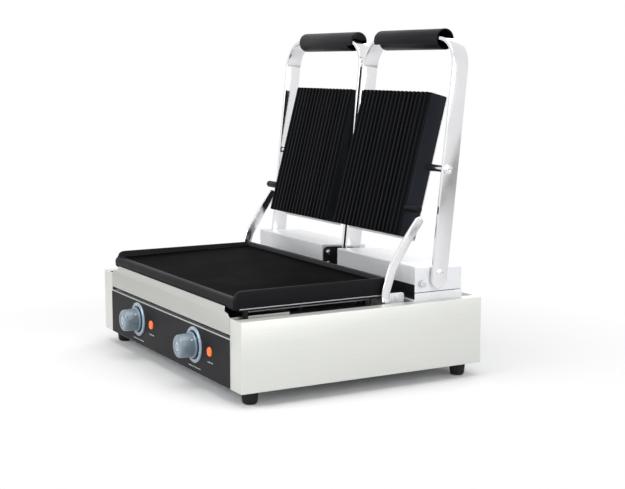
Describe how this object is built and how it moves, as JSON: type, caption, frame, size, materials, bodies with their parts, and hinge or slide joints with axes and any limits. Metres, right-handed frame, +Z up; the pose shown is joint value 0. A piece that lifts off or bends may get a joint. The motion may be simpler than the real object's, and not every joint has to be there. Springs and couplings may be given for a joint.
{
  "type": "double contact grill",
  "caption": "Countertop electric contact grill with a wide smooth griddle and separately hinged ribbed top plates on bow handles, a drip tray and dial controls.",
  "frame": {"origin": "on the floor, under the middle of the machine", "axes": "+X to the right of someone at the controls, +Y towards the back, +Z up; plates stand open at rest"},
  "size_m": [0.57, 0.4966, 0.5624],
  "materials": {
    "brushed_stainless": "fine brushed stainless sheet",
    "galvanised_sheet": "dull galvanised sheet",
    "satin_tray": "satin stainless",
    "charcoal_overlay": "matt charcoal",
    "blue_grey_knob": "satin moulded",
    "bezel_blue": "satin printed ring",
    "orange_lens": "clear tinted lens",
    "thermostat_case": "moulded case",
    "black_cast_iron": "black enamelled casting",
    "plate_back_steel": "brushed stainless sheet",
    "polished_steel": "polished",
    "ground_shaft": "ground steel",
    "black_grip": "moulded, faint sheen",
    "black_frame": "black paint",
    "bronze_bush": "plain bearing",
    "element_sheath": "heat-tinted sheath",
    "mineral_pad": "pressed mineral wool",
    "foot_rubber": "moulded rubber"
  },
  "bodies": {
    "base": {"base_pan": "galvanised_sheet", "bezel_rings": "bezel_blue", "bottom_elements": "element_sheath", "cable_gland": "black_grip", "control_overlay": "charcoal_overlay", "control_panel": "brushed_stainless", "element_clamps": "galvanised_sheet", "feet": "foot_rubber", "foot_screws": "ground_shaft", "griddle": "black_cast_iron", "griddle_posts": "ground_shaft", "guide_bar_left": "polished_steel", "guide_bar_right": "polished_steel", "guide_brackets": "brushed_stainless", "heat_shield": "galvanised_sheet", "hinge_bushes": "bronze_bush", "hinge_cover_left": "brushed_stainless", "hinge_cover_right": "brushed_stainless", "hinge_frame_left": "black_frame", "hinge_frame_right": "black_frame", "hinge_plinth_left": "brushed_stainless", "hinge_plinth_right": "brushed_stainless", "indicator_lamps": "orange_lens", "panel_screws": "polished_steel", "rear_panel": "brushed_stainless", "side_panel_left": "brushed_stainless", "side_panel_right": "brushed_stainless", "spring_sleeves": "ground_shaft", "stop_bolts": "polished_steel", "terminal_block": "thermostat_case", "thermostat_left": "thermostat_case", "thermostat_right": "thermostat_case", "top_deck": "galvanised_sheet", "tray_runners": "black_grip"},
    "handle_left_bow": {"handle_left": "polished_steel", "grip_left": "black_grip", "hinge_shaft_left": "ground_shaft", "shaft_screws_left": "polished_steel", "pivot_pins_left": "polished_steel"},
    "plate_left": {"top_plate_left": "black_cast_iron", "plate_cover_left": "plate_back_steel", "cover_screws_left": "polished_steel", "top_element_left": "element_sheath", "top_insulation_left": "mineral_pad", "tilt_knob_left": "black_grip"},
    "knob_left": {"control_knob_left": "blue_grey_knob"},
    "handle_right_bow": {"handle_right": "polished_steel", "grip_right": "black_grip", "hinge_shaft_right": "ground_shaft", "shaft_screws_right": "polished_steel", "pivot_pins_right": "polished_steel"},
    "plate_right": {"top_plate_right": "black_cast_iron", "plate_cover_right": "plate_back_steel", "cover_screws_right": "polished_steel", "top_element_right": "element_sheath", "top_insulation_right": "mineral_pad", "tilt_knob_right": "black_grip"},
    "knob_right": {"control_knob_right": "blue_grey_knob"},
    "tray": {"drip_tray": "satin_tray"}
  },
  "joints": [
    {"name": "handle_hinge_left", "type": "hinge", "parent": "base", "child": "handle_left_bow", "pos_m": [-0.141, 0.14, 0.1745], "axis": [1, 0, 0], "range_deg": [0, 85.5]},
    {"name": "plate_tilt_left", "type": "hinge", "parent": "handle_left_bow", "child": "plate_left", "pos_m": [-0.119, 0.15202, 0.3401], "axis": [1, 0, 0], "range_deg": [0, 20.5]},
    {"name": "knob_turn_left", "type": "hinge", "parent": "base", "child": "knob_left", "pos_m": [-0.118, -0.2335, 0.0663], "axis": [0, 1, 0], "range_deg": [0, 300]},
    {"name": "handle_hinge_right", "type": "hinge", "parent": "base", "child": "handle_right_bow", "pos_m": [0.141, 0.14, 0.1745], "axis": [1, 0, 0], "range_deg": [0, 85.5]},
    {"name": "plate_tilt_right", "type": "hinge", "parent": "handle_right_bow", "child": "plate_right", "pos_m": [0.119, 0.15202, 0.3401], "axis": [1, 0, 0], "range_deg": [0, 20.5]},
    {"name": "knob_turn_right", "type": "hinge", "parent": "base", "child": "knob_right", "pos_m": [0.118, -0.2335, 0.0663], "axis": [0, 1, 0], "range_deg": [0, 300]},
    {"name": "tray_slide", "type": "slide", "parent": "base", "child": "tray", "axis": [0, -1, 0], "range_m": [0, 0.07]}
  ],
  "couplings": [
    {"joint": "plate_tilt_left", "follows": "handle_hinge_left", "ratio": 0.2386},
    {"joint": "plate_tilt_right", "follows": "handle_hinge_right", "ratio": 0.2386}
  ]
}
